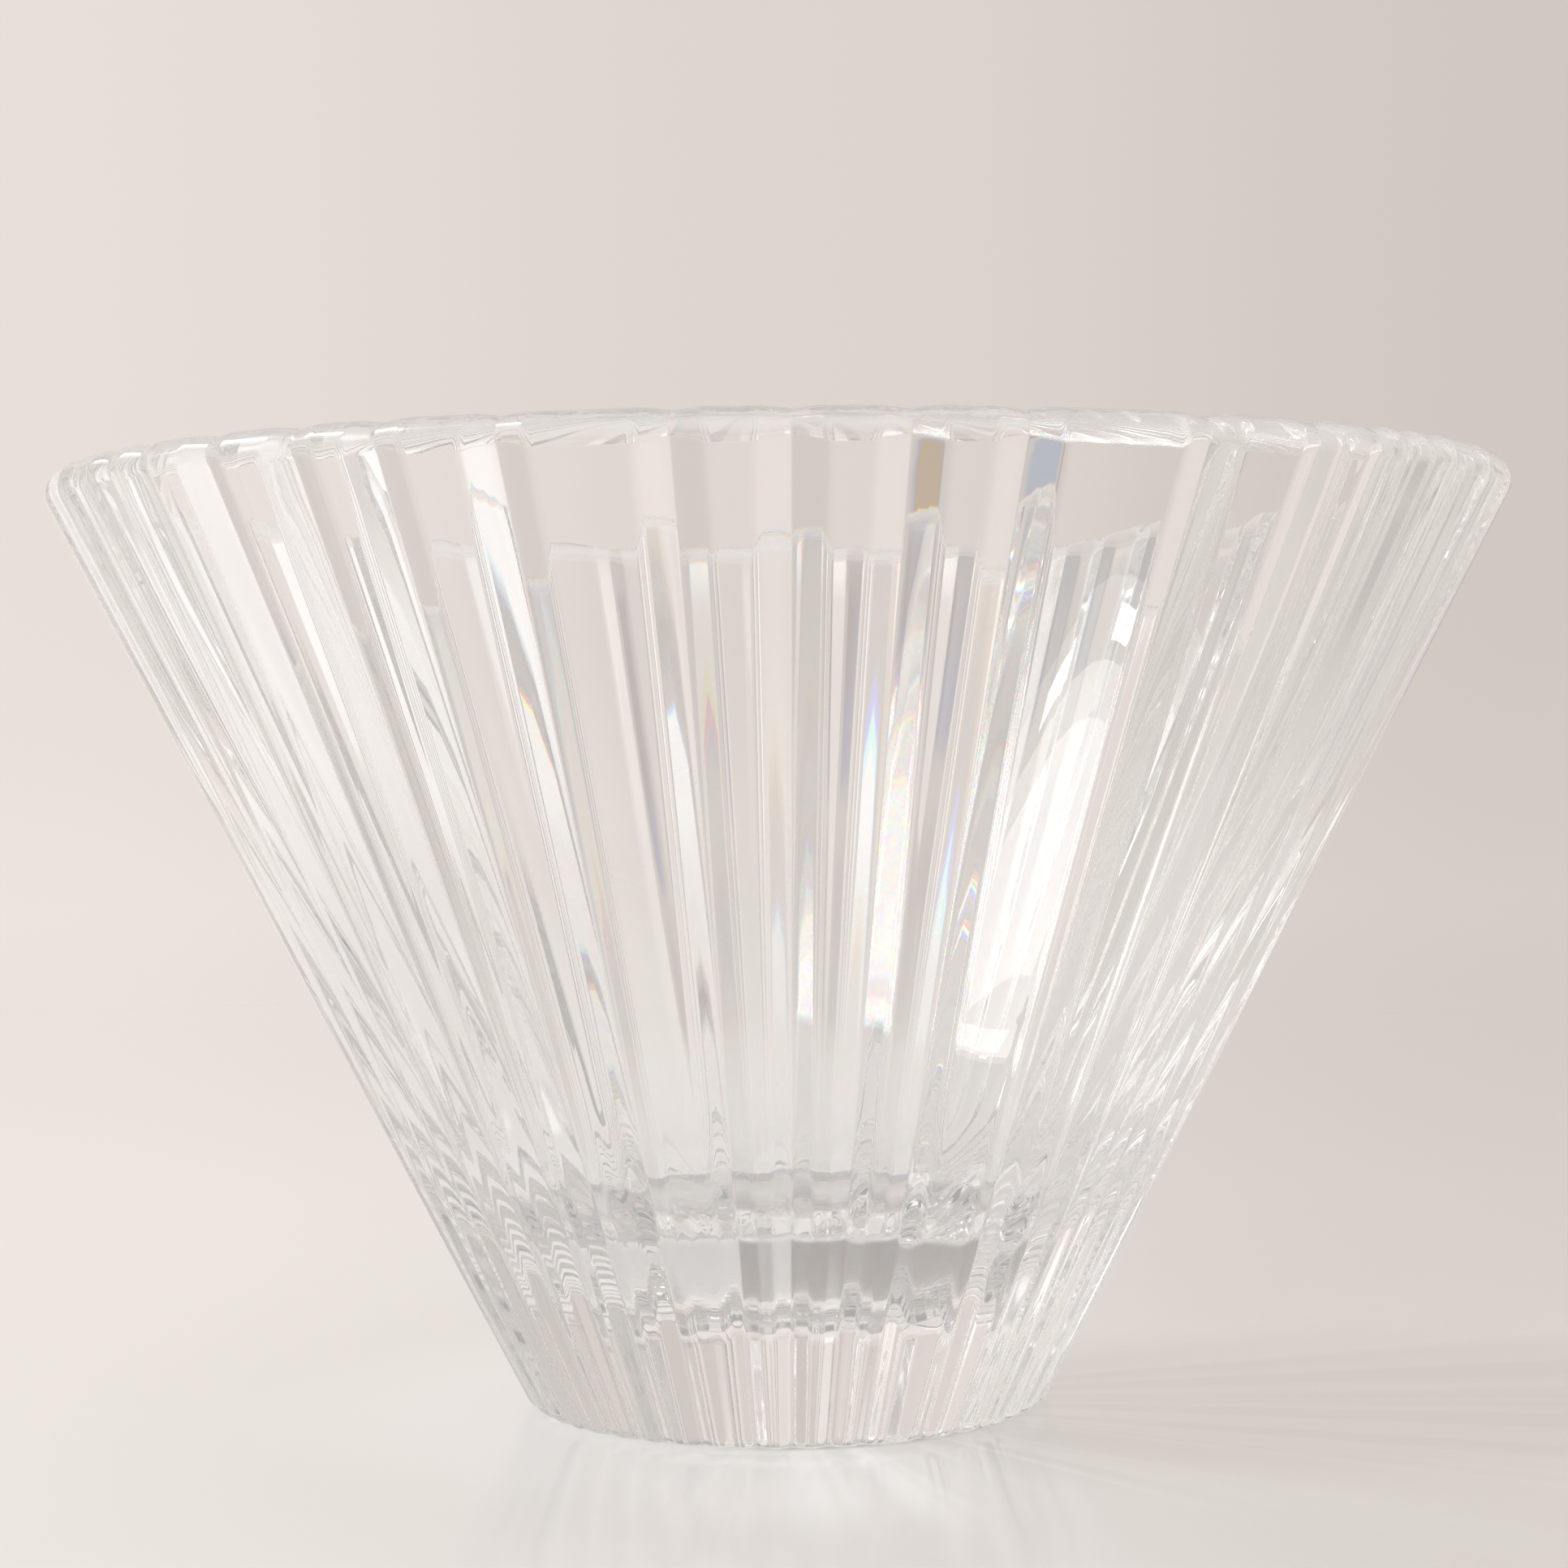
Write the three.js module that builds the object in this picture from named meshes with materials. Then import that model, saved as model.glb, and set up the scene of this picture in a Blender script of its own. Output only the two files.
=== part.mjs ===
// A flared bowl of thick clear glass. Flat panels of uneven width run up its outside, parted by V grooves.
// Millimetres, +Z up, resting on z = 0. The bowl's front faces -Y.
import * as THREE from "three";

// Overall form
const RIM_RADIUS = 102.5;
const HEIGHT = 132;
const BASE_RADIUS = 34.5; // the flat that the bowl rests on
const BASE_EDGE_ROUNDING = 3.5;
const LIP_ROUNDING = 3.3; // half the wall's thickness at the lip

// Hollow: a round bottom that runs out into a nearly straight wall
const FLOOR_HEIGHT = 19;
const FLOOR_RADIUS = 3; // the small flat in the middle
const HOLLOW_ROUNDING = 57;
const INSIDE_BULGE = 1.4; // how far the inner wall bows outwards between round bottom and lip

// Grooves: depth into the wall, and the width of each sloping side
const GROOVE_DEPTH_AT_RIM = 1.6;
const GROOVE_DEPTH_AT_BASE = 0.72;
const GROOVE_SIDE_AT_RIM = 4.3;
const GROOVE_SIDE_AT_BASE = 1.95;
const GROOVE_SIDE_ON_LIP = 2;
const GROOVE_FADE_ON_LIP = 1.35; // above 1, the groove grows shallow sooner on its way over the lip
const GROOVE_SIDE_SHARE = 0.4; // the most of a narrow panel that one side takes
const PANEL_EDGE_ROUNDING = 0.6;
const PANEL_EDGE_SHARE = 0.5; // the most of the room beside an edge that its rounding takes

// Degrees between one groove and the next, from left to right as the front shows them.
// The last panel closes a half turn, and the other half repeats the same rhythm.
const FIRST_GROOVE = -73.5;
const PANEL_DEGREES = [
  9, 7.9, 5.3, 8.5, 8.4, 7, 8.9, 11.6, 7.8, 7.7, 7.8, 13.5, 9.9, 6.8, 4, 3.9, 8, 10, 8.4, 7.8, 9.8,
];
const HALF_TURN = 180;

// Facets along the rounded stretches of the profile
const BASE_EDGE_STEPS = 3;
const LIP_STEPS_OUTSIDE = 5; // from the outer wall to the lip's top
const LIP_STEPS_INSIDE = 3;
const INSIDE_STEPS = 5;
const HOLLOW_STEPS = 12;
const STEPS_ROUND_INSIDE = 96;

const GLASS_COLOR = 0xeceeed;
const GLASS_ROUGHNESS = 0.03;

const DEGREE = Math.PI / 180;

// Panels as [left groove, width] in radians, all the way round.
function panels() {
  const closing = HALF_TURN - PANEL_DEGREES.reduce((sum, width) => sum + width, 0);
  const found = [];
  let groove = FIRST_GROOVE;
  for (const width of [...PANEL_DEGREES, closing, ...PANEL_DEGREES, closing]) {
    found.push([groove * DEGREE, width * DEGREE]);
    groove += width;
  }
  return found;
}

// Direction in which a straight wall faces when it touches two circles of the profile, the second
// of them lying (dr, dz) from the first, and reach more distant from the wall's line than the first.
function wallFacing(dr, dz, reach) {
  return Math.atan2(dz, dr) - Math.acos(reach / Math.hypot(dr, dz));
}

// A point of the profile's arc, with the direction that its surface faces.
function onArc(centreRadius, centreHeight, rounding, facing) {
  return {
    radius: centreRadius + rounding * Math.cos(facing),
    height: centreHeight + rounding * Math.sin(facing),
    facing,
  };
}

// Points of an arc from one facing to another, both ends included.
function arc(centreRadius, centreHeight, rounding, from, to, steps) {
  return Array.from({ length: steps + 1 }, (_, i) =>
    onArc(centreRadius, centreHeight, rounding, from + ((to - from) * i) / steps),
  );
}

// Points strictly between two others, bowed outwards from the straight line by at most the bulge.
function bowed(from, to, bulge, steps) {
  return Array.from({ length: steps - 1 }, (_, i) => {
    const along = (i + 1) / steps;
    return {
      radius: from.radius + (to.radius - from.radius) * along + 4 * bulge * along * (1 - along),
      height: from.height + (to.height - from.height) * along,
    };
  });
}

// Profile stations from the underside, up the outside, over the lip and down to the floor. Those
// outside carry the depth of the groove there and the width of the groove's sides.
function profile() {
  const lip = { radius: RIM_RADIUS - LIP_ROUNDING, height: HEIGHT - LIP_ROUNDING };
  const bottom = { radius: FLOOR_RADIUS, height: FLOOR_HEIGHT + HOLLOW_ROUNDING };
  const outside = wallFacing(
    lip.radius - BASE_RADIUS,
    lip.height - BASE_EDGE_ROUNDING,
    BASE_EDGE_ROUNDING - LIP_ROUNDING,
  );
  const inside = wallFacing(
    lip.radius - bottom.radius,
    lip.height - bottom.height,
    LIP_ROUNDING + HOLLOW_ROUNDING,
  );

  const baseEdge = arc(
    BASE_RADIUS,
    BASE_EDGE_ROUNDING,
    BASE_EDGE_ROUNDING,
    -Math.PI / 2,
    outside,
    BASE_EDGE_STEPS,
  ).map((point) => ({ ...point, facing: 0, depth: GROOVE_DEPTH_AT_BASE, side: GROOVE_SIDE_AT_BASE }));

  const lipTop = Math.PI / 2;
  const lipEnd = inside + Math.PI;
  const overLip = arc(
    lip.radius,
    lip.height,
    LIP_ROUNDING,
    outside,
    lipTop,
    LIP_STEPS_OUTSIDE,
  ).map((point) => {
    const left = (lipEnd - point.facing) / (lipEnd - outside);
    const start = point.facing === outside;
    return {
      ...point,
      depth: GROOVE_DEPTH_AT_RIM * left ** GROOVE_FADE_ON_LIP,
      side: start ? GROOVE_SIDE_AT_RIM : GROOVE_SIDE_ON_LIP,
    };
  });

  const intoHollow = arc(
    lip.radius,
    lip.height,
    LIP_ROUNDING,
    lipTop,
    lipEnd,
    LIP_STEPS_INSIDE,
  ).slice(1);
  const roundBottom = arc(
    bottom.radius,
    bottom.height,
    HOLLOW_ROUNDING,
    inside,
    -Math.PI / 2,
    HOLLOW_STEPS,
  );
  const innerWall = bowed(intoHollow.at(-1), roundBottom[0], INSIDE_BULGE, INSIDE_STEPS);

  return {
    grooved: [...baseEdge, ...overLip],
    smooth: [...intoHollow, ...innerWall, ...roundBottom],
  };
}

// A ring point at an angle from the front, set in from the station's surface.
function ringPoint({ radius, height, facing }, angle, inset) {
  const r = radius - inset * Math.cos(facing);
  const z = height - inset * Math.sin(facing);
  return { angle, place: [r * Math.sin(angle), -r * Math.cos(angle), z] };
}

// A grooved station's closed ring: in each panel the groove's bottom, then both edges of the flat
// face, each edge cut across by a narrow facet.
function groovedRing(station) {
  const { radius, depth, side } = station;
  const points = [];
  const place = (angle, inset) => points.push(ringPoint(station, angle, inset));
  for (const [groove, width] of panels()) {
    const slope = Math.min(side / radius, GROOVE_SIDE_SHARE * width);
    const room = Math.min(slope, width / 2 - slope);
    const edge = Math.min(PANEL_EDGE_ROUNDING / radius, PANEL_EDGE_SHARE * room);
    const onSlope = (depth * edge) / slope;
    const next = groove + width;
    place(groove, depth);
    place(groove + slope - edge, onSlope);
    place(groove + slope + edge, 0);
    place(next - slope - edge, 0);
    place(next - slope + edge, onSlope);
  }
  return points;
}

// A smooth station's closed ring, which starts at the same angle as the grooved ones.
function smoothRing({ radius, height }) {
  return Array.from({ length: STEPS_ROUND_INSIDE }, (_, i) => {
    const angle = FIRST_GROOVE * DEGREE + (2 * Math.PI * i) / STEPS_ROUND_INSIDE;
    return ringPoint({ radius, height, facing: 0 }, angle, 0);
  });
}

// The triangles between two neighbouring rings, which may differ in their number of points.
function band(low, high) {
  const triangles = [];
  const angleAt = (ring, i) => ring[i % ring.length].angle + (i < ring.length ? 0 : 2 * Math.PI);
  let i = 0;
  let j = 0;
  while (i < low.length || j < high.length) {
    const onLow = low[i % low.length].place;
    const onHigh = high[j % high.length].place;
    const lowNext = i < low.length && (j === high.length || angleAt(low, i + 1) <= angleAt(high, j + 1));
    const far = lowNext ? low[++i % low.length].place : high[++j % high.length].place;
    triangles.push(onLow, far, onHigh);
  }
  return triangles;
}

// The triangles of a flat face inside a ring.
function disc(ring, height, facingUp) {
  return ring.flatMap(({ place }, i) => {
    const next = ring[(i + 1) % ring.length].place;
    return facingUp ? [[0, 0, height], place, next] : [[0, 0, height], next, place];
  });
}

// A closed skin over the profile, with a flat face inside its first and its last ring.
function skin({ grooved, smooth }) {
  const rings = [...grooved.map(groovedRing), ...smooth.map(smoothRing)];
  const corners = [
    ...disc(rings[0], grooved[0].height, false),
    ...rings.slice(1).flatMap((ring, i) => band(rings[i], ring)),
    ...disc(rings.at(-1), smooth.at(-1).height, true),
  ];
  const geometry = new THREE.BufferGeometry();
  geometry.setAttribute("position", new THREE.Float32BufferAttribute(corners.flat(), 3));
  geometry.computeVertexNormals();
  return geometry;
}

function bowl() {
  const glass = new THREE.MeshStandardMaterial({
    color: GLASS_COLOR,
    roughness: GLASS_ROUGHNESS,
    metalness: 0,
  });
  const mesh = new THREE.Mesh(skin(profile()), glass);
  mesh.name = "bowl";
  return mesh;
}

const object = new THREE.Group();
object.name = "glass_bowl";
object.add(bowl());

export default object;
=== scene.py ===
# Looks for a flared bowl of thick clear glass, in the same frame as its CAD part.
# The bowl and the camera are given in millimetres, the table and the lamps in metres, and angles in
# degrees, unless a comment says otherwise. Colours in whole numbers are display colours from 0 to 255.
import math

import bpy
import numpy as np
from mathutils import Matrix, Vector

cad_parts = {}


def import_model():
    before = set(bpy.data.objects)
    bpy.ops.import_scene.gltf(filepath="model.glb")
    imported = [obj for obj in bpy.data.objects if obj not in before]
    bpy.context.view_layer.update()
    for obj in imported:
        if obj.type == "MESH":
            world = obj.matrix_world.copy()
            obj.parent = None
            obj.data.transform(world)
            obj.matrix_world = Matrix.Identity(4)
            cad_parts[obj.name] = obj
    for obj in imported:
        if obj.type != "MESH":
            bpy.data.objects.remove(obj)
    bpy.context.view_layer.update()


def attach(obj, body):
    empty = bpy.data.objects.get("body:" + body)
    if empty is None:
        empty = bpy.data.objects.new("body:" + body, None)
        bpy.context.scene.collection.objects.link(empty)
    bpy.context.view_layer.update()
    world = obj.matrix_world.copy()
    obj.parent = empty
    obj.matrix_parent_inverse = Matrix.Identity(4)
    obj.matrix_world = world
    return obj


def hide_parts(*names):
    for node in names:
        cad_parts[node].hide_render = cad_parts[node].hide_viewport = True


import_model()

MM = 0.001

# Overall form, as in the part
RIM_RADIUS = 102.5
HEIGHT = 132.0
BASE_RADIUS = 34.5
BASE_EDGE_ROUNDING = 3.5
LIP_ROUNDING = 3.3

# Hollow
FLOOR_HEIGHT = 19.0
FLOOR_RADIUS = 3.0
HOLLOW_ROUNDING = 57.0
INSIDE_BULGE = 1.4  # how far the inner wall bows outwards halfway between lip and bottom

# Grooves: depth, and how far a side runs along the skin from the valley to the panel's flat
GROOVE_DEPTH_AT_RIM = 1.6
GROOVE_DEPTH_AT_BASE = 0.95
GROOVE_SIDE_AT_RIM = 4.3
GROOVE_SIDE_AT_BASE = 1.95
GROOVE_SIDE_ON_LIP = 3.2
GROOVE_SIDE_SHARE = 0.4  # no side takes more of its panel than this
GROOVE_FADE_ON_LIP = 1.35  # power by which the depth runs out over the lip
SHOULDER_ROUNDING_AT_RIM = 0.75
SHOULDER_ROUNDING_AT_BASE = 1.2
VALLEY_ROUNDING_AT_RIM = 0.12
VALLEY_ROUNDING_AT_BASE = 0.3
ROUNDING_SHARE = 0.5  # no rounding takes more than this of a stretch beside it

# One half turn of panels from the first groove on; the last panel closes it, and the other half repeats it
FIRST_GROOVE = -73.5
PANEL_DEGREES = [
    9, 7.9, 5.3, 8.5, 8.4, 7, 8.9, 11.6, 7.8, 7.7, 7.8, 13.5, 9.9, 6.8, 4, 3.9, 8, 10, 8.4, 7.8, 9.8,
]

# Steps along each stretch of the profile
BASE_EDGE_STEPS = 8
WALL_STEPS = 14
LIP_STEPS_OUTSIDE = 16
LIP_STEPS_INSIDE = 9
INSIDE_STEPS = 16
HOLLOW_STEPS = 26
FLAT_STEPS = 5

# Points across each panel, as shares of the stretch that they divide
ENTERING_VALLEY = (0.5, 0.75, 1.0)
ON_SIDE = (1 / 3, 2 / 3)
ON_SHOULDER = np.linspace(0, 1, 7)
ON_FLAT = (0.25, 0.5, 0.75)
LEAVING_VALLEY = (0.0, 0.25)

# On the plain skin these two only space the points
PLAIN_SIDE = 1.0
PLAIN_SHOULDER = 0.3

# Glass
GLASS_IOR = 1.55
IOR_SPREAD = 0.009  # between red and green, and between green and blue
FAR_ROUGHNESS = 0.07  # the photo's far half is out of focus, so its outer side blurs what it shows
FAR_BY_ANGLE = ((30, 60), (1.0, 0.0))  # how much of that, by degrees from the back
FAR_LIP = 3.0  # how many times as much on the lip
CUT_BY_HEIGHT = ((25, 75), (0.2, 0.8))  # heights, and how strongly the groove sides split light there
CUT_BY_ANGLE = ((20, 30), (1.0, 0.0))  # the same by degrees from the front
SHADOW_PASS = 0.985  # light that each surface lets through into the shadow
BOUNCES = 64  # light turns back many times inside the solid base

# Camera, fitted to the photo
CAMERA_DISTANCE = 465.419
CAMERA_HEIGHT = 93.733
CAMERA_PITCH = -0.699
CAMERA_YAW = 0.051
CAMERA_ROLL = -0.611
FOCAL_PIXELS = 4000.0
PICTURE_PIXELS = 1932.0
SENSOR = 36.0
CAMERA_CLIP = (0.01, 50)  # metres

# The studio's surroundings ahead of the camera and behind it, from left (0) to right (1)
SKY_AHEAD = [
    (0.0, (212, 206, 201)),
    (0.14, (222, 215, 210)),
    (0.28, (236, 229, 223)),
    (0.385, (232, 223, 216)),
    (0.5, (221, 213, 206)),
    (0.615, (208, 200, 193)),
    (0.68, (203, 196, 190)),
    (0.78, (211, 205, 199)),
    (1.0, (214, 208, 203)),
]
SKY_BEHIND = [
    (0.0, (205, 200, 195)),
    (0.25, (180, 175, 171)),
    (0.5, (160, 156, 152)),
    (0.75, (192, 187, 183)),
    (1.0, (216, 210, 205)),
]
AHEAD_FROM = 0.5  # share of the way ahead at which only SKY_AHEAD shows; at 0 it is only SKY_BEHIND
OVERHEAD_FROM = 45  # above the table, where the darker sky overhead begins
OVERHEAD_FULL = 70
OVERHEAD_LIGHT = (0.38, 0.375, 0.37)

# Soft patches of the surroundings: azimuth and elevation of the middle, half width, half height and
# softness, then the light that a pane adds, or the colour that a flag puts in its place.
PANES = [
    (0, -9, 40, 7, 5, (0.06, 0.06, 0.06)),
    (-108, 60, 14, 6, 4, (0.8, 0.8, 0.77)),
    (-29, 2, 11, 8, 5, (0.21, 0.23, 0.25)),
    (-64, 22, 1.5, 8, 1.0, (0.6, 0.6, 0.6)),
    (-47, 18, 1.0, 8, 0.8, (0.4, 0.4, 0.4)),
]
FLAGS = [
    (15.7, 4, 1.0, 6, 0.8, (0.44, 0.42, 0.50)),
    (15.7, 5, 0.4, 4, 0.5, (0.51, 0.41, 0.30)),
    (19.0, 4, 1.0, 5, 0.7, (0.45, 0.47, 0.53)),
    (23.0, 4, 1.6, 5, 1.2, (0.50, 0.48, 0.47)),
    (33.0, 14, 0.8, 12, 0.6, (0.36, 0.34, 0.34)),
    (44.0, 20, 1.5, 14, 1.2, (0.30, 0.29, 0.29)),
    (53.0, 18, 3.0, 12, 2.0, (0.33, 0.31, 0.30)),
    (62.0, 22, 1.5, 16, 1.2, (0.28, 0.28, 0.30)),
    (73.0, 36, 3.0, 9, 2.5, (0.40, 0.38, 0.38)),
    (104.0, 44, 6.0, 8, 4.0, (0.45, 0.43, 0.42)),
    (-38.0, 9, 0.6, 8, 0.5, (0.40, 0.38, 0.38)),
]

# Lamp overhead
OVERHEAD_LAMP_PLACE = (-0.5, 0.0, 2.2)
OVERHEAD_LAMP_TARGET = (0, 0, 0.06)
OVERHEAD_LAMP_SIZE = (2.6, 2.6)
OVERHEAD_LAMP_WATTS = 42

# Lit panels that the far right part of the hollow mirrors: middle of the upper edge, width and height,
# light, and whether they are seen by mirroring only
PANEL_ACROSS = (0.094, -0.408, 0.096)  # direction of their upper edges
PANEL_FACES = (0.057, 0.07, 0.09)  # the place on the hollow's wall that they face
SOFTBOXES = {
    "key": ((-0.441, 0.051, 0.599), (0.44, 0.20), 1.5, False),
    "key_wide": ((-0.453, 0.045, 0.587), (0.44, 0.112), 2.6, True),
    "key_core": ((-0.454, 0.008, 0.586), (0.37, 0.068), 2.6, True),
    "bulb_left": ((-0.4486, -0.0682, 0.6523), (0.06, 0.008), 8.0, True),
    "bulb_right": ((-0.495, 0.113, 0.613), (0.06, 0.008), 8.0, True),
}

# Table
TABLE_HALF_SIZE = 6.0
TABLE_DROP = 0.0002  # how far it lies under the bowl, so that the two faces don't coincide
TABLE_FADE = (0.35, 1.6)  # distances from the bowl between which it gives way to the surroundings
TABLE_ROUGHNESS = 0.12
TABLE_IOR = 1.4
WHITE = (1.0, 1.0, 1.0)
# Painted light streaks that the glass throws onto the table, in a noise around the bowl's axis
LIGHT_STREAK_SCALE = 6.0
LIGHT_STREAK_DETAIL = 2.0
SLANT = 0.24  # how far the far zones' edges run outwards for each metre of y, as the camera's view does

# Parts of the table where light and shade are painted into its colour. Each edge names a measure, then
# where the part ends and where it is there in full.
# The radius is the distance from the bowl's axis, and the angle is taken from the front, in radians.
# Painted shade: the table darker to the right, away from the light at the left
SHADE_TO_THE_RIGHT = [("x", 0.0, 0.09)]
# Painted light: the table lighter far to the left
LIGHT_FAR_LEFT = [("x leaning left", -0.125, -0.21)]
# Painted shade: the table darker far to the right
SHADE_FAR_RIGHT = [("x leaning right", 0.13, 0.3)]
IN_SHADE = [("x", -0.012, 0.04), ("x", 0.5, 0.15), ("y", -0.07, -0.025), ("y", 0.06, 0.01)]
LIT_ZONE = [("x", 0.0, 0.03), ("x", 0.5, 0.25), ("y", -0.12, -0.07), ("y", 0.4, 0.1)]
DIM_ZONE = [("x", -0.02, -0.1), ("x", -0.6, -0.3), ("y", 0.4, 0.15)]
# Painted shadow of the bowl's base on the table under it
SHADOW_UNDER_BASE = [("x", -0.010, 0.002), ("x", 0.05, 0.026), ("y", 0.012, -0.012), ("radius", 0.0355, 0.0335)]
BESIDE_BASE = ("radius", 0.033, 0.036)
# Painted light that the glass gathers onto the table around the base
GLOW_ZONE = [("angle", 0.75, 0.25), BESIDE_BASE, ("radius", 0.085, 0.042)]
# Painted light streaks in front of the bowl and to its right
LIGHT_STREAKS_IN_FRONT = [("angle", -0.5, 0.05), ("angle", 0.95, 0.3), BESIDE_BASE, ("radius", 0.095, 0.045)]
LIGHT_STREAKS_AT_RIGHT = [("angle", 0.5, 0.9), ("angle", 2.4, 1.9), BESIDE_BASE, ("radius", 0.3, 0.06)]
LIGHT_STREAK_EDGE_IN_FRONT = (0.46, 0.66)  # values of the noise where a painted light streak begins and is full
LIGHT_STREAK_EDGE_AT_RIGHT = (0.42, 0.62)

# Its colours, with light and shade painted into them
TABLE_LEFT = (226, 223, 221)
# painted shade, to the right of the bowl
TABLE_SHADE_RIGHT = (212, 208, 205)
TABLE_LIGHT_FAR_LEFT = (243, 241, 239)  # painted light, out of the camera's sight, where the table lies nearer to the window
# painted shade, far to the right
TABLE_SHADE_FAR_RIGHT = (207, 203, 199)
TABLE_SHADE = (198, 193, 189)
# painted shadow under the base
TABLE_SHADOW_UNDER_BASE = (185, 180, 177)
TABLE_LIT = (220, 217, 215)  # in LIT_ZONE, as far as it is seen through the glass
TABLE_DIM = (216, 213, 211)  # the same in DIM_ZONE

# And how strongly each shows
SHADE_SEEN = 0.8
SHADE_THROUGH_GLASS = 0.3
ZONES_THROUGH_GLASS = 0.5
# strength of that painted light
GLOW = 0.3
# strength of the painted light streaks
LIGHT_STREAK_IN_FRONT = 0.5
LIGHT_STREAK_AT_RIGHT = 0.06


def put(name, data):
    made = bpy.data.objects.new(name, data)
    bpy.context.scene.collection.objects.link(made)
    return made


def between(a, b, t):
    return a + (b - a) * t


def bezier(a, b, c, t):
    return (1 - t) ** 2 * a + 2 * t * (1 - t) * b + t**2 * c


def arc(cr, cz, rounding, start, end, steps):
    """Radius, height and angle of the points along a rounding."""
    for i in range(steps + 1):
        a = between(start, end, i / steps)
        yield cr + rounding * math.cos(a), cz + rounding * math.sin(a), a


def wall_facing(dr, dz, reach):
    """Facing of the straight wall that joins two roundings, dr and dz apart."""
    return math.atan2(dz, dr) - math.acos(reach / math.hypot(dr, dz))


def panels():
    """Left groove and width of every panel, in radians."""
    closing = 180 - sum(PANEL_DEGREES)
    widths = np.radians(np.array((PANEL_DEGREES + [closing]) * 2, float))
    grooves = math.radians(FIRST_GROOVE) + np.concatenate([[0.0], np.cumsum(widths)[:-1]])
    return grooves, widths


def stations():
    """Rows of the skin from the underside, up the outside, over the lip and down to the floor."""
    lip_r, lip_z = RIM_RADIUS - LIP_ROUNDING, HEIGHT - LIP_ROUNDING
    bottom_r, bottom_z = FLOOR_RADIUS, FLOOR_HEIGHT + HOLLOW_ROUNDING
    outside = wall_facing(
        lip_r - BASE_RADIUS, lip_z - BASE_EDGE_ROUNDING, BASE_EDGE_ROUNDING - LIP_ROUNDING
    )
    inside = wall_facing(lip_r - bottom_r, lip_z - bottom_z, LIP_ROUNDING + HOLLOW_ROUNDING)
    upright = math.pi / 2
    lip_end = inside + math.pi
    rows = []

    def row(
        r, z, facing=0.0, depth=0.0, side=PLAIN_SIDE, shoulder=PLAIN_SHOULDER, chord=0.0,
        valley=VALLEY_ROUNDING_AT_RIM,
    ):
        rows.append(dict(
            r=r, z=z, facing=facing, depth=depth, side=side, shoulder=shoulder, chord=chord, valley=valley,
        ))

    def wall_row(r, z, facing, t):
        row(
            r, z, facing,
            between(GROOVE_DEPTH_AT_BASE, GROOVE_DEPTH_AT_RIM, t),
            between(GROOVE_SIDE_AT_BASE, GROOVE_SIDE_AT_RIM, t),
            between(SHOULDER_ROUNDING_AT_BASE, SHOULDER_ROUNDING_AT_RIM, t),
            1.0,
            between(VALLEY_ROUNDING_AT_BASE, VALLEY_ROUNDING_AT_RIM, t),
        )

    def lip_row(r, z, a, side, chord):
        left = max(0.0, (lip_end - a) / (lip_end - outside))
        row(r, z, a, GROOVE_DEPTH_AT_RIM * left**GROOVE_FADE_ON_LIP, side, SHOULDER_ROUNDING_AT_RIM, chord)

    for r, z, _ in arc(
        BASE_RADIUS, BASE_EDGE_ROUNDING, BASE_EDGE_ROUNDING, -upright, outside, BASE_EDGE_STEPS
    ):
        wall_row(r, z, 0.0, 0.0)
    low = rows[-1]
    top_r = lip_r + LIP_ROUNDING * math.cos(outside)
    top_z = lip_z + LIP_ROUNDING * math.sin(outside)
    for i in range(1, WALL_STEPS):
        t = i / WALL_STEPS
        wall_row(between(low["r"], top_r, t), between(low["z"], top_z, t), between(0.0, outside, t), t)
    for r, z, a in arc(lip_r, lip_z, LIP_ROUNDING, outside, upright, LIP_STEPS_OUTSIDE):
        t = (a - outside) / (upright - outside)
        lip_row(r, z, a, between(GROOVE_SIDE_AT_RIM, GROOVE_SIDE_ON_LIP, t), 1.0)
    inner_lip = list(arc(lip_r, lip_z, LIP_ROUNDING, upright, lip_end, LIP_STEPS_INSIDE))
    for i, (r, z, a) in enumerate(inner_lip[1:], 1):
        lip_row(r, z, a, GROOVE_SIDE_ON_LIP, 1.0 - i / LIP_STEPS_INSIDE)
    top = rows[-1]
    end_r = bottom_r + HOLLOW_ROUNDING * math.cos(inside)
    end_z = bottom_z + HOLLOW_ROUNDING * math.sin(inside)
    for i in range(1, INSIDE_STEPS):
        t = i / INSIDE_STEPS
        row(between(top["r"], end_r, t) + 4 * INSIDE_BULGE * t * (1 - t), between(top["z"], end_z, t))
    for r, z, _ in arc(bottom_r, bottom_z, HOLLOW_ROUNDING, inside, -upright, HOLLOW_STEPS):
        row(r, z)
    return rows


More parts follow.
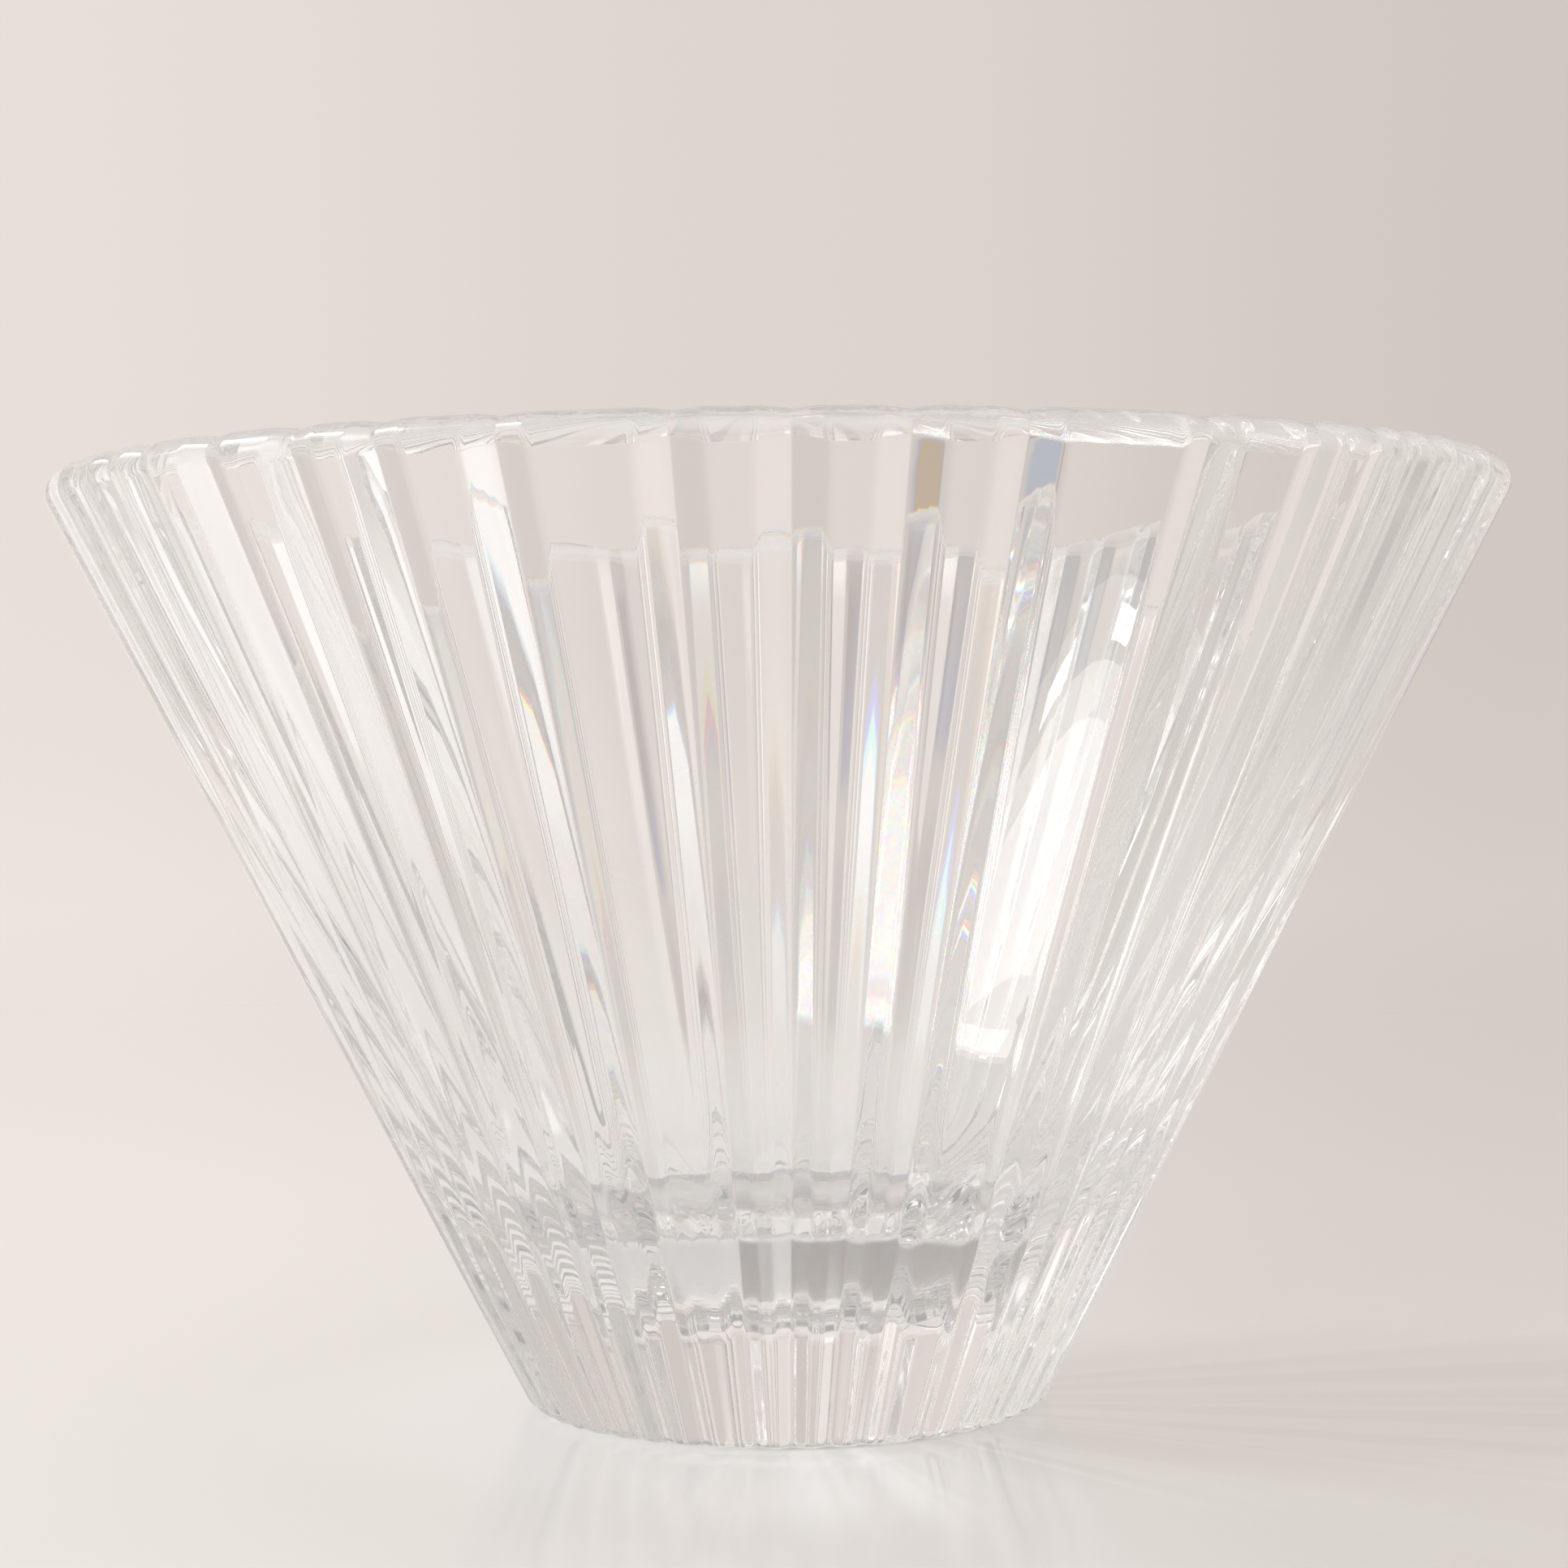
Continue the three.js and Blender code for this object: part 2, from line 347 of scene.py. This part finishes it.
def ring(station):
    """Points of one row, all the way round, as an array of places in millimetres."""
    r, z, facing, depth, side, shoulder, chord, valley = (
        station[k] for k in ("r", "z", "facing", "depth", "side", "shoulder", "chord", "valley")
    )
    grooves, widths = panels()
    slope = np.minimum(side / r, GROOVE_SIDE_SHARE * widths) * r
    wide = widths * r
    round_by = np.minimum(shoulder, ROUNDING_SHARE * np.minimum(slope, wide / 2 - slope))
    valley_by = np.minimum(valley, ROUNDING_SHARE * slope)
    zero = np.zeros_like(wide)
    # corners as (along, inset) in each panel's own developed strip
    v0 = np.stack([zero, zero + depth], 1)
    c1 = np.stack([slope, zero], 1)
    c2 = np.stack([wide - slope, zero], 1)
    v1 = np.stack([wide, zero + depth], 1)

    def towards(a, b, by):
        d = b - a
        return a + d / np.linalg.norm(d, axis=1, keepdims=True) * np.reshape(by, (-1, 1))

    up = towards(v0, c1, valley_by)
    down = towards(v1, c2, valley_by)
    # the valley's own rounding needs the neighbour's slope on its other side
    before = np.roll(down - v1, 1, axis=0) + v0
    after = np.roll(up - v0, -1, axis=0) + v1
    s1, e1 = towards(c1, v0, round_by), towards(c1, c2, round_by)
    s2, e2 = towards(c2, c1, round_by), towards(c2, v1, round_by)
    points = [bezier(before, v0, up, t) for t in ENTERING_VALLEY]
    points += [between(up, s1, t) for t in ON_SIDE]
    points += [bezier(s1, c1, e1, t) for t in ON_SHOULDER]
    points += [between(e1, s2, t) for t in ON_FLAT]
    points += [bezier(s2, c2, e2, t) for t in ON_SHOULDER]
    points += [between(e2, down, t) for t in ON_SIDE]
    points += [bezier(down, v1, after, t) for t in LEAVING_VALLEY]
    strip = np.stack(points, 1)  # panel, point, (along, inset)
    angle = grooves[:, None] + strip[..., 0] / r
    inset = strip[..., 1]
    mid = grooves[:, None] + widths[:, None] / 2
    half = (widths - 2 * slope / r)[:, None] / 2
    off = np.clip(np.abs(angle - mid), 0, half)
    flat = chord * r * (1 - np.cos(half) / np.cos(off))
    rad = r - inset * math.cos(facing) - flat
    high = z - inset * math.sin(facing)
    place = np.stack([rad * np.sin(angle), -rad * np.cos(angle), high], -1)
    return place.reshape(-1, 3)


def cut_shares():
    """How much of a groove each point of one panel's strip belongs to, in the order of ring()."""
    fall = 1 - ON_SHOULDER
    before = [1] * (len(ENTERING_VALLEY) + len(ON_SIDE))
    after = [1] * (len(ON_SIDE) + len(LEAVING_VALLEY))
    return np.concatenate([before, fall, [0] * len(ON_FLAT), fall[::-1], after])


def flat_rings(edge, height, steps):
    """Rings from a closed edge in to the middle of a flat face."""
    shares = [1 - i / steps for i in range(1, steps)]
    return [edge * np.array([k, k, 0.0]) + np.array([0, 0, height]) for k in shares]


def bowl_mesh():
    found = stations()
    rows = [ring(s) for s in found]
    shares = np.tile(cut_shares(), 2 * (len(PANEL_DEGREES) + 1))
    around = np.degrees(np.arctan2(rows[0][:, 0], -rows[0][:, 1]))
    shares = shares * np.interp(abs(around), *CUT_BY_ANGLE)
    uncut = [shares * 0] * (FLAT_STEPS - 1)
    cut = [shares * (s["depth"] > 0) * np.interp(s["z"], *CUT_BY_HEIGHT) for s in found]
    cut = uncut + cut + uncut + [np.zeros(2)]
    under = flat_rings(rows[0], 0.0, FLAT_STEPS)[::-1]
    floor_rows = flat_rings(rows[-1], FLOOR_HEIGHT, FLAT_STEPS)
    rows = under + rows + floor_rows
    count = len(rows[0])
    places = np.concatenate(rows + [np.array([[0, 0, 0.0], [0, 0, FLOOR_HEIGHT]])]) * MM
    low_centre, high_centre = len(places) - 2, len(places) - 1
    i = np.arange(count)
    j = (i + 1) % count
    faces = []
    for k in range(len(rows) - 1):
        a, b = k * count, (k + 1) * count
        faces += np.stack([a + i, a + j, b + j, b + i], 1).tolist()
    last = (len(rows) - 1) * count
    faces += [(int(low_centre), int(q), int(p)) for p, q in zip(i, j)]
    faces += [(int(high_centre), int(last + p), int(last + q)) for p, q in zip(i, j)]
    mesh = bpy.data.meshes.new("glass_bowl")
    mesh.from_pydata(places.tolist(), [], faces)
    lip_top = len(under) + max(range(len(found)), key=lambda k: found[k]["z"])
    lip_start = (lip_top - LIP_STEPS_OUTSIDE) * count
    lip_end = (lip_top + LIP_STEPS_INSIDE) * count
    far = np.interp(np.degrees(abs(np.arctan2(places[:, 0], places[:, 1]))), *FAR_BY_ANGLE)
    far[lip_start:lip_end] *= FAR_LIP
    far[lip_end:] = 0
    for name, values in (("cut", np.concatenate(cut)), ("far", far)):
        mesh.attributes.new(name, "FLOAT", "POINT").data.foreach_set("value", values.astype(np.float32))
    mesh.shade_smooth()
    mesh.update()
    return mesh


def linear(colour):
    """The light that a display colour stands for."""
    return tuple(((c / 255 + 0.055) / 1.055) ** 2.4 for c in colour)


def maths(tree, operation, *values):
    node = tree.nodes.new("ShaderNodeMath")
    node.operation = operation
    for socket, value in zip(node.inputs, values):
        if isinstance(value, (int, float)):
            socket.default_value = value
        else:
            tree.links.new(value, socket)
    return node.outputs[0]


def product(tree, *values):
    total = values[0]
    for value in values[1:]:
        total = maths(tree, "MULTIPLY", total, value)
    return total


def step(tree, value, out, full):
    """0 where the value is at out, 1 where it is at full, with a soft run between."""
    node = tree.nodes.new("ShaderNodeMapRange")
    node.interpolation_type = "SMOOTHSTEP"
    node.inputs["From Min"].default_value = out
    node.inputs["From Max"].default_value = full
    tree.links.new(value, node.inputs["Value"])
    return node.outputs[0]


def ramp(tree, value, stops):
    node = tree.nodes.new("ShaderNodeValToRGB")
    node.color_ramp.interpolation = "EASE"
    elements = node.color_ramp.elements
    while len(elements) > 1:
        elements.remove(elements[-1])
    elements[0].position = stops[0][0]
    elements[0].color = (*linear(stops[0][1]), 1)
    for at, colour in stops[1:]:
        elements.new(at).color = (*linear(colour), 1)
    tree.links.new(value, node.inputs[0])
    return node.outputs[0]


def blend(tree, factor, a, b):
    node = tree.nodes.new("ShaderNodeMix")
    node.data_type = "RGBA"
    for socket, value in ((node.inputs["Factor"], factor), (node.inputs["A"], a), (node.inputs["B"], b)):
        if isinstance(value, tuple):
            socket.default_value = (*value, 1)
        else:
            tree.links.new(value, socket)
    return node.outputs["Result"]


def glass(tree, roughness, ior, colour=WHITE):
    node = tree.nodes.new("ShaderNodeBsdfGlass")
    node.inputs["Color"].default_value = (*colour, 1)
    tree.links.new(roughness, node.inputs["Roughness"])
    node.inputs["IOR"].default_value = ior
    return node.outputs[0]


def mixed(tree, kind, *inputs):
    """A Mix or Add Shader of the given shaders; a Mix takes its factor first."""
    node = tree.nodes.new(kind)
    for socket, value in zip(node.inputs, inputs):
        tree.links.new(value, socket)
    return node.outputs[0]


def clear_glass():
    """Clear glass whose groove sides split light into its colours where the eye meets them."""
    material = bpy.data.materials.new("clear_glass")
    material.use_nodes = True
    tree = material.node_tree
    tree.nodes.clear()
    far = tree.nodes.new("ShaderNodeAttribute")
    far.attribute_name = "far"
    rough = maths(tree, "MULTIPLY", far.outputs["Fac"], FAR_ROUGHNESS)
    plain = glass(tree, rough, GLASS_IOR)
    red = glass(tree, rough, GLASS_IOR - IOR_SPREAD, (1, 0, 0))
    green = glass(tree, rough, GLASS_IOR, (0, 1, 0))
    blue = glass(tree, rough, GLASS_IOR + IOR_SPREAD, (0, 0, 1))
    split = mixed(tree, "ShaderNodeAddShader", mixed(tree, "ShaderNodeAddShader", red, green), blue)
    cut = tree.nodes.new("ShaderNodeAttribute")
    cut.attribute_name = "cut"
    path = tree.nodes.new("ShaderNodeLightPath")
    share = maths(tree, "MULTIPLY", cut.outputs["Fac"], path.outputs["Is Camera Ray"])
    body = mixed(tree, "ShaderNodeMixShader", share, plain, split)
    through = tree.nodes.new("ShaderNodeBsdfTransparent")
    through.inputs["Color"].default_value = (SHADOW_PASS, SHADOW_PASS, SHADOW_PASS, 1)
    body = mixed(tree, "ShaderNodeMixShader", path.outputs["Is Shadow Ray"], body, through.outputs[0])
    out = tree.nodes.new("ShaderNodeOutputMaterial")
    tree.links.new(body, out.inputs["Surface"])
    return material


def camera():
    data = bpy.data.cameras.new("camera")
    holder = put("camera", data)
    pitch, yaw, roll = (math.radians(a) for a in (CAMERA_PITCH, CAMERA_YAW, CAMERA_ROLL))
    ahead = Vector((math.sin(yaw) * math.cos(pitch), math.cos(yaw) * math.cos(pitch), math.sin(pitch)))
    level = Vector((math.cos(yaw), -math.sin(yaw), 0))
    above = level.cross(ahead)
    right = level * math.cos(roll) + above * math.sin(roll)
    up = above * math.cos(roll) - level * math.sin(roll)
    place = Matrix((right, up, -ahead)).transposed().to_4x4()
    place.translation = Vector((0, -CAMERA_DISTANCE, CAMERA_HEIGHT)) * MM
    holder.matrix_world = place
    data.sensor_width = SENSOR
    data.lens = FOCAL_PIXELS / PICTURE_PIXELS * SENSOR
    data.clip_start, data.clip_end = CAMERA_CLIP
    bpy.context.scene.camera = holder


def patch(tree, direction, azimuth, elevation, half_width, half_height, softness):
    """1 inside a soft-edged patch of sky around a direction, 0 outside; all in degrees."""
    x, y, z = direction
    around = maths(tree, "ARCTAN2", x, y)
    aside = maths(tree, "SUBTRACT", around, math.radians(azimuth))
    aside = maths(tree, "WRAP", aside, math.pi, -math.pi)
    high = maths(tree, "SUBTRACT", maths(tree, "ARCSINE", z), math.radians(elevation))
    return product(tree, *(
        step(
            tree, maths(tree, "ABSOLUTE", value),
            math.radians(half + softness), math.radians(max(0.0, half - softness)),
        )
        for value, half in ((aside, half_width), (high, half_height))
    ))


def added(tree, colour, share, light):
    """The colour with its share of a light added."""
    lit = tree.nodes.new("ShaderNodeVectorMath")
    lit.operation = "SCALE"
    lit.inputs[0].default_value = light
    tree.links.new(share, lit.inputs["Scale"])
    total = tree.nodes.new("ShaderNodeVectorMath")
    total.operation = "ADD"
    tree.links.new(colour, total.inputs[0])
    tree.links.new(lit.outputs[0], total.inputs[1])
    return total.outputs[0]


def world():
    made = bpy.data.worlds.new("studio")
    bpy.context.scene.world = made
    made.use_nodes = True
    tree = made.node_tree
    tree.nodes.clear()
    out = tree.nodes.new("ShaderNodeOutputWorld")
    back = tree.nodes.new("ShaderNodeBackground")
    where = tree.nodes.new("ShaderNodeTexCoord")
    split = tree.nodes.new("ShaderNodeSeparateXYZ")
    tree.links.new(where.outputs["Generated"], split.inputs[0])
    direction = x, y, z = tuple(split.outputs)
    across = maths(tree, "MULTIPLY_ADD", x, 0.5, 0.5)
    turned = step(tree, y, AHEAD_FROM, 0.0)
    colour = blend(tree, turned, ramp(tree, across, SKY_AHEAD), ramp(tree, across, SKY_BEHIND))
    for *place, dark in FLAGS:
        colour = blend(tree, patch(tree, direction, *place), colour, dark)
    for *place, light in PANES:
        colour = added(tree, colour, patch(tree, direction, *place), light)
    overhead = (math.sin(math.radians(angle)) for angle in (OVERHEAD_FROM, OVERHEAD_FULL))
    colour = blend(tree, step(tree, z, *overhead), colour, OVERHEAD_LIGHT)
    tree.links.new(colour, back.inputs["Color"])
    tree.links.new(back.outputs[0], out.inputs["Surface"])


def table_colour(tree, where):
    """Colour of the table by the place on it, with painted light and shade: the shade away from the light,
    the bowl's shadows, and the light that the glass gathers.
    """
    place = tree.nodes.new("ShaderNodeSeparateXYZ")
    tree.links.new(where, place.inputs[0])
    x, y = place.outputs[0], place.outputs[1]
    length = tree.nodes.new("ShaderNodeVectorMath")
    length.operation = "LENGTH"
    tree.links.new(where, length.inputs[0])
    radius = length.outputs["Value"]
    angle = maths(tree, "ARCTAN2", x, maths(tree, "MULTIPLY", y, -1.0))
    measures = {
        "x": x,
        "y": y,
        "x leaning left": maths(tree, "MULTIPLY_ADD", y, SLANT, x),
        "x leaning right": maths(tree, "MULTIPLY_ADD", y, -SLANT, x),
        "radius": radius,
        "angle": angle,
    }

    def zone(edges):
        return product(tree, *(step(tree, measures[name], out, full) for name, out, full in edges))

    seen = tree.nodes.new("ShaderNodeLightPath").outputs["Is Camera Ray"]
    shade = maths(tree, "MULTIPLY_ADD", seen, SHADE_SEEN - SHADE_THROUGH_GLASS, SHADE_THROUGH_GLASS)
    unseen = maths(tree, "MULTIPLY_ADD", seen, -ZONES_THROUGH_GLASS, ZONES_THROUGH_GLASS)
    noise = tree.nodes.new("ShaderNodeTexNoise")
    noise.noise_dimensions = "1D"
    noise.inputs["Scale"].default_value = LIGHT_STREAK_SCALE
    noise.inputs["Detail"].default_value = LIGHT_STREAK_DETAIL
    tree.links.new(angle, noise.inputs["W"])
    light_streaks_in_front = step(tree, noise.outputs["Fac"], *LIGHT_STREAK_EDGE_IN_FRONT)
    light_streaks_at_right = step(tree, noise.outputs["Fac"], *LIGHT_STREAK_EDGE_AT_RIGHT)
    # Painted light and shade are laid over the table's colour one zone after another
    colour = linear(TABLE_LEFT)
    for share, shown in (
        (zone(SHADE_TO_THE_RIGHT), linear(TABLE_SHADE_RIGHT)),
        (zone(LIGHT_FAR_LEFT), linear(TABLE_LIGHT_FAR_LEFT)),
        (zone(SHADE_FAR_RIGHT), linear(TABLE_SHADE_FAR_RIGHT)),
        (product(tree, zone(IN_SHADE), shade), linear(TABLE_SHADE)),
        (product(tree, zone(LIT_ZONE), unseen), linear(TABLE_LIT)),
        (product(tree, zone(DIM_ZONE), unseen), linear(TABLE_DIM)),
        (zone(SHADOW_UNDER_BASE), linear(TABLE_SHADOW_UNDER_BASE)),
        (product(tree, zone(GLOW_ZONE), GLOW), WHITE),
        (product(tree, zone(LIGHT_STREAKS_IN_FRONT), light_streaks_in_front, LIGHT_STREAK_IN_FRONT), WHITE),
        (product(tree, zone(LIGHT_STREAKS_AT_RIGHT), light_streaks_at_right, LIGHT_STREAK_AT_RIGHT), WHITE),
    ):
        colour = blend(tree, share, colour, shown)
    return colour, radius


def floor():
    s = TABLE_HALF_SIZE
    mesh = bpy.data.meshes.new("floor")
    mesh.from_pydata([(-s, -s, 0), (s, -s, 0), (s, s, 0), (-s, s, 0)], [], [(0, 1, 2, 3)])
    plane = put("floor", mesh)
    material = bpy.data.materials.new("table")
    material.use_nodes = True
    tree = material.node_tree
    body = tree.nodes["Principled BSDF"]
    body.inputs["Roughness"].default_value = TABLE_ROUGHNESS
    body.inputs["IOR"].default_value = TABLE_IOR
    where = tree.nodes.new("ShaderNodeTexCoord").outputs["Object"]
    colour, radius = table_colour(tree, where)
    tree.links.new(colour, body.inputs["Base Color"])
    clear = tree.nodes.new("ShaderNodeBsdfTransparent")
    fade = step(tree, radius, *TABLE_FADE)
    surface = mixed(tree, "ShaderNodeMixShader", fade, body.outputs[0], clear.outputs[0])
    tree.links.new(surface, tree.nodes["Material Output"].inputs["Surface"])
    mesh.materials.append(material)
    plane.location.z = -TABLE_DROP


def area_lamp(name, size, power):
    data = bpy.data.lights.new(name, "AREA")
    data.shape = "RECTANGLE"
    data.size, data.size_y = size
    data.energy = power
    return put(name, data)


def overhead_lamp():
    holder = area_lamp("overhead", OVERHEAD_LAMP_SIZE, OVERHEAD_LAMP_WATTS)
    holder.location = OVERHEAD_LAMP_PLACE
    way = Vector(OVERHEAD_LAMP_TARGET) - Vector(OVERHEAD_LAMP_PLACE)
    holder.rotation_euler = way.to_track_quat("-Z", "Y").to_euler()
    holder.visible_camera = holder.visible_glossy = holder.visible_transmission = False


def softbox(name, top, size, light, only_mirrored):
    across = Vector(PANEL_ACROSS).normalized()
    back = (Vector(top) - Vector(PANEL_FACES)).normalized()
    up = back.cross(across).normalized()
    back = across.cross(up)
    holder = area_lamp(name, size, light * math.pi * size[0] * size[1])
    place = Matrix((across, up, back)).transposed().to_4x4()
    place.translation = Vector(top) - up * (size[1] / 2)
    holder.matrix_world = place
    holder.visible_transmission = holder.visible_diffuse = not only_mirrored


bowl = put("cut_glass_bowl", bowl_mesh())
bowl.data.materials.append(clear_glass())
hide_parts("bowl")
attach(bowl, "root")
camera()
world()
floor()
overhead_lamp()
for name, panel in SOFTBOXES.items():
    softbox(name, *panel)
bpy.context.scene.view_settings.view_transform = "Standard"
bpy.context.scene.cycles.max_bounces = BOUNCES
bpy.context.scene.cycles.transmission_bounces = BOUNCES
bpy.context.scene.cycles.glossy_bounces = BOUNCES
